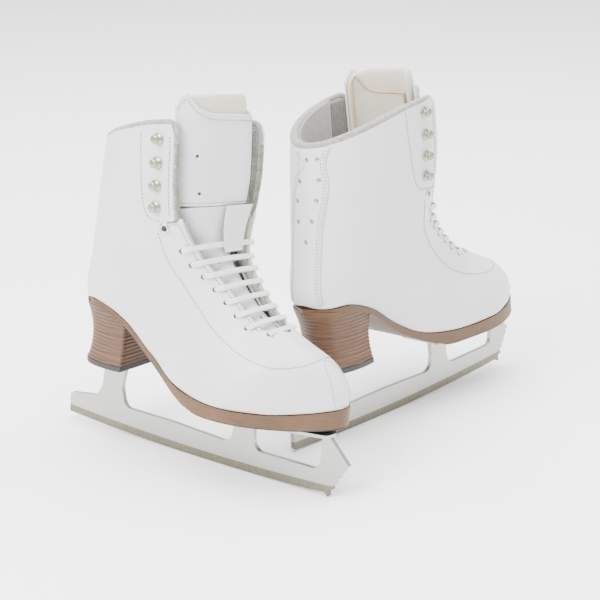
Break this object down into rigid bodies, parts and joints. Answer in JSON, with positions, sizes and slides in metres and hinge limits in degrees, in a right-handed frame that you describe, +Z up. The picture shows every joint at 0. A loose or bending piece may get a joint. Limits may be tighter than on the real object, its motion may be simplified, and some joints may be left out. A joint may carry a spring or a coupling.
{
  "type": "figure skates",
  "caption": "Pair of white leather figure skates with padded tongues, hooks, stacked heels and steel toe-pick blades.",
  "frame": {"origin": "centre of the pair's bounding box, on the floor", "axes": "+Z up; +X from the right skate across to the left skate; both toes point towards +X, the right one also towards -Y, the left one also towards +Y"},
  "size_m": [0.3822, 0.2806, 0.2896],
  "materials": {
    "white_leather": "smooth, lightly coated",
    "stiffener": "fibre-filled sheet",
    "lining_mesh": "waffle mesh",
    "grey_felt": "speckled knitted felt",
    "cream_pad": "soft brushed padding",
    "lace_cotton": "flat woven",
    "clear_tip": "moulded",
    "footbed_foam": "brushed",
    "insole_board": "pressed fibre",
    "spring_steel": "plain",
    "sole_leather": "burnished edge",
    "black_rubber": "matt",
    "stacked_leather": "stacked layers, burnished",
    "blade_steel": "satin sides, ground edge",
    "screw_steel": "plain",
    "nickel": "polished nickel"
  },
  "bodies": {
    "right_skate": {"right_outer_quarter": "white_leather", "right_inner_quarter": "white_leather", "right_backstay": "white_leather", "right_outer_facing": "stiffener", "right_inner_facing": "stiffener", "right_heel_counter": "stiffener", "right_toe_box": "stiffener", "right_outer_lining": "lining_mesh", "right_inner_lining": "lining_mesh", "right_collar_padding": "grey_felt", "right_tongue_lower": "white_leather", "right_lace_keeper": "white_leather", "right_lace": "lace_cotton", "right_lace_tips": "clear_tip", "right_footbed": "footbed_foam", "right_insole_board": "insole_board", "right_shank": "spring_steel", "right_outsole": "sole_leather", "right_sole_base_layer": "black_rubber", "right_heel_stack": "stacked_leather", "right_heel_lift": "black_rubber", "right_blade_runner": "blade_steel", "right_heel_plate": "blade_steel", "right_sole_plate": "blade_steel", "right_heel_screws": "screw_steel", "right_sole_screws": "screw_steel", "right_lace_hooks": "nickel", "right_eyelets": "nickel"},
    "right_tongue": {"right_tongue_upper": "white_leather", "right_tongue_padding": "cream_pad"},
    "left_skate": {"left_outer_quarter": "white_leather", "left_inner_quarter": "white_leather", "left_backstay": "white_leather", "left_outer_facing": "stiffener", "left_inner_facing": "stiffener", "left_heel_counter": "stiffener", "left_toe_box": "stiffener", "left_outer_lining": "lining_mesh", "left_inner_lining": "lining_mesh", "left_collar_padding": "grey_felt", "left_tongue_lower": "white_leather", "left_lace_keeper": "white_leather", "left_lace": "lace_cotton", "left_lace_tips": "clear_tip", "left_footbed": "footbed_foam", "left_insole_board": "insole_board", "left_shank": "spring_steel", "left_outsole": "sole_leather", "left_sole_base_layer": "black_rubber", "left_heel_stack": "stacked_leather", "left_heel_lift": "black_rubber", "left_blade_runner": "blade_steel", "left_heel_plate": "blade_steel", "left_sole_plate": "blade_steel", "left_heel_screws": "screw_steel", "left_sole_screws": "screw_steel", "left_lace_hooks": "nickel", "left_eyelets": "nickel"},
    "left_tongue": {"left_tongue_upper": "white_leather", "left_tongue_padding": "cream_pad"}
  },
  "joints": [
    {"name": "right_tongue_fold", "type": "hinge", "parent": "right_skate", "child": "right_tongue", "pos_m": [-0.05481, -0.05301, 0.20347], "axis": [0.8361, 0.5393, -0.1004], "range_deg": [0, 35]},
    {"name": "left_lift", "type": "slide", "parent": "right_skate", "child": "left_skate", "axis": [0, 0, 1], "range_m": [0, 0.32]},
    {"name": "left_tongue_fold", "type": "hinge", "parent": "left_skate", "child": "left_tongue", "pos_m": [0.08344, 0.06054, 0.20452], "axis": [-0.9162, 0.3868, -0.1051], "range_deg": [0, 35]}
  ]
}
